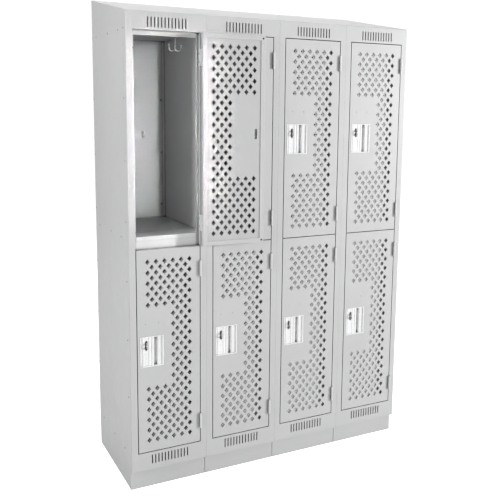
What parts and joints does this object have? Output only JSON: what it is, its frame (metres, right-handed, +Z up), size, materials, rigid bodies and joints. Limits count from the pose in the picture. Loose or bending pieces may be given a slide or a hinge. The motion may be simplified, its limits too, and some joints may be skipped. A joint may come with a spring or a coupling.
{
  "type": "locker cabinet",
  "caption": "Bank of tall steel lockers in two tiers, with perforated double-skinned doors on side hinges, recessed padlock handles, a sloped hood and a closed base.",
  "frame": {"origin": "bottom centre of the whole object's box, on the floor, with the upper door of the first column open", "axes": "+Z up; the doors face -Y; +X runs from the first column to the last"},
  "size_m": [1.2212, 0.494, 1.867],
  "materials": {
    "powder_coat": "light grey powder coat, fine texture, semi-gloss",
    "powder_coat_inner": "light grey powder coat on inner sheets",
    "cup_finish": "smooth off-white enamel",
    "zinc_plate": "zinc plated",
    "chrome_plate": "bright chrome",
    "rivet_paint": "rivet heads painted with the body",
    "black_rubber": "matt black rubber"
  },
  "bodies": {
    "cabinet": {"face_frame_1": "powder_coat", "hood_1": "powder_coat", "base_1": "powder_coat", "face_frame_2": "powder_coat", "hood_2": "powder_coat", "base_2": "powder_coat", "face_frame_3": "powder_coat", "hood_3": "powder_coat", "base_3": "powder_coat", "face_frame_4": "powder_coat", "hood_4": "powder_coat", "base_4": "powder_coat", "partition_1": "powder_coat_inner", "partition_2": "powder_coat_inner", "partition_3": "powder_coat_inner", "side_panel_left": "powder_coat", "side_panel_right": "powder_coat", "back_panels": "powder_coat", "floor_panels": "powder_coat_inner", "middle_shelves": "powder_coat_inner", "ceiling_panels": "powder_coat_inner", "hinge_frame_leaves": "powder_coat", "hinge_pins": "zinc_plate", "hinge_screws": "zinc_plate", "padlock_eyes": "zinc_plate", "door_bumpers": "black_rubber", "coat_hooks": "chrome_plate", "panel_rivets": "rivet_paint"},
    "lower_door_1": {"lower_door_1_skin": "powder_coat", "lower_door_1_liner": "powder_coat_inner", "lower_door_1_handle_cup": "cup_finish", "lower_door_1_hinge_leaves": "powder_coat"},
    "upper_door_1": {"upper_door_1_skin": "powder_coat", "upper_door_1_liner": "powder_coat_inner", "upper_door_1_handle_cup": "cup_finish", "upper_door_1_hinge_leaves": "powder_coat"},
    "lower_door_2": {"lower_door_2_skin": "powder_coat", "lower_door_2_liner": "powder_coat_inner", "lower_door_2_handle_cup": "cup_finish", "lower_door_2_hinge_leaves": "powder_coat"},
    "upper_door_2": {"upper_door_2_skin": "powder_coat", "upper_door_2_liner": "powder_coat_inner", "upper_door_2_handle_cup": "cup_finish", "upper_door_2_hinge_leaves": "powder_coat"},
    "lower_door_3": {"lower_door_3_skin": "powder_coat", "lower_door_3_liner": "powder_coat_inner", "lower_door_3_handle_cup": "cup_finish", "lower_door_3_hinge_leaves": "powder_coat"},
    "upper_door_3": {"upper_door_3_skin": "powder_coat", "upper_door_3_liner": "powder_coat_inner", "upper_door_3_handle_cup": "cup_finish", "upper_door_3_hinge_leaves": "powder_coat"},
    "lower_door_4": {"lower_door_4_skin": "powder_coat", "lower_door_4_liner": "powder_coat_inner", "lower_door_4_handle_cup": "cup_finish", "lower_door_4_hinge_leaves": "powder_coat"},
    "upper_door_4": {"upper_door_4_skin": "powder_coat", "upper_door_4_liner": "powder_coat_inner", "upper_door_4_handle_cup": "cup_finish", "upper_door_4_hinge_leaves": "powder_coat"}
  },
  "joints": [
    {"name": "lower_door_1_hinge", "type": "hinge", "parent": "cabinet", "child": "lower_door_1", "pos_m": [-0.3313, -0.21474, 0.53925], "axis": [0, 0, 1], "range_deg": [0, 178]},
    {"name": "upper_door_1_hinge", "type": "hinge", "parent": "cabinet", "child": "upper_door_1", "pos_m": [-0.3313, -0.21474, 1.32275], "axis": [0, 0, 1], "range_deg": [-178, 0]},
    {"name": "lower_door_2_hinge", "type": "hinge", "parent": "cabinet", "child": "lower_door_2", "pos_m": [-0.0265, -0.21474, 0.53925], "axis": [0, 0, 1], "range_deg": [0, 178]},
    {"name": "upper_door_2_hinge", "type": "hinge", "parent": "cabinet", "child": "upper_door_2", "pos_m": [-0.0265, -0.21474, 1.32275], "axis": [0, 0, 1], "range_deg": [0, 2]},
    {"name": "lower_door_3_hinge", "type": "hinge", "parent": "cabinet", "child": "lower_door_3", "pos_m": [0.2783, -0.21474, 0.53925], "axis": [0, 0, 1], "range_deg": [0, 178]},
    {"name": "upper_door_3_hinge", "type": "hinge", "parent": "cabinet", "child": "upper_door_3", "pos_m": [0.2783, -0.21474, 1.32275], "axis": [0, 0, 1], "range_deg": [0, 178]},
    {"name": "lower_door_4_hinge", "type": "hinge", "parent": "cabinet", "child": "lower_door_4", "pos_m": [0.5831, -0.21474, 0.53925], "axis": [0, 0, 1], "range_deg": [0, 178]},
    {"name": "upper_door_4_hinge", "type": "hinge", "parent": "cabinet", "child": "upper_door_4", "pos_m": [0.5831, -0.21474, 1.32275], "axis": [0, 0, 1], "range_deg": [0, 178]}
  ]
}
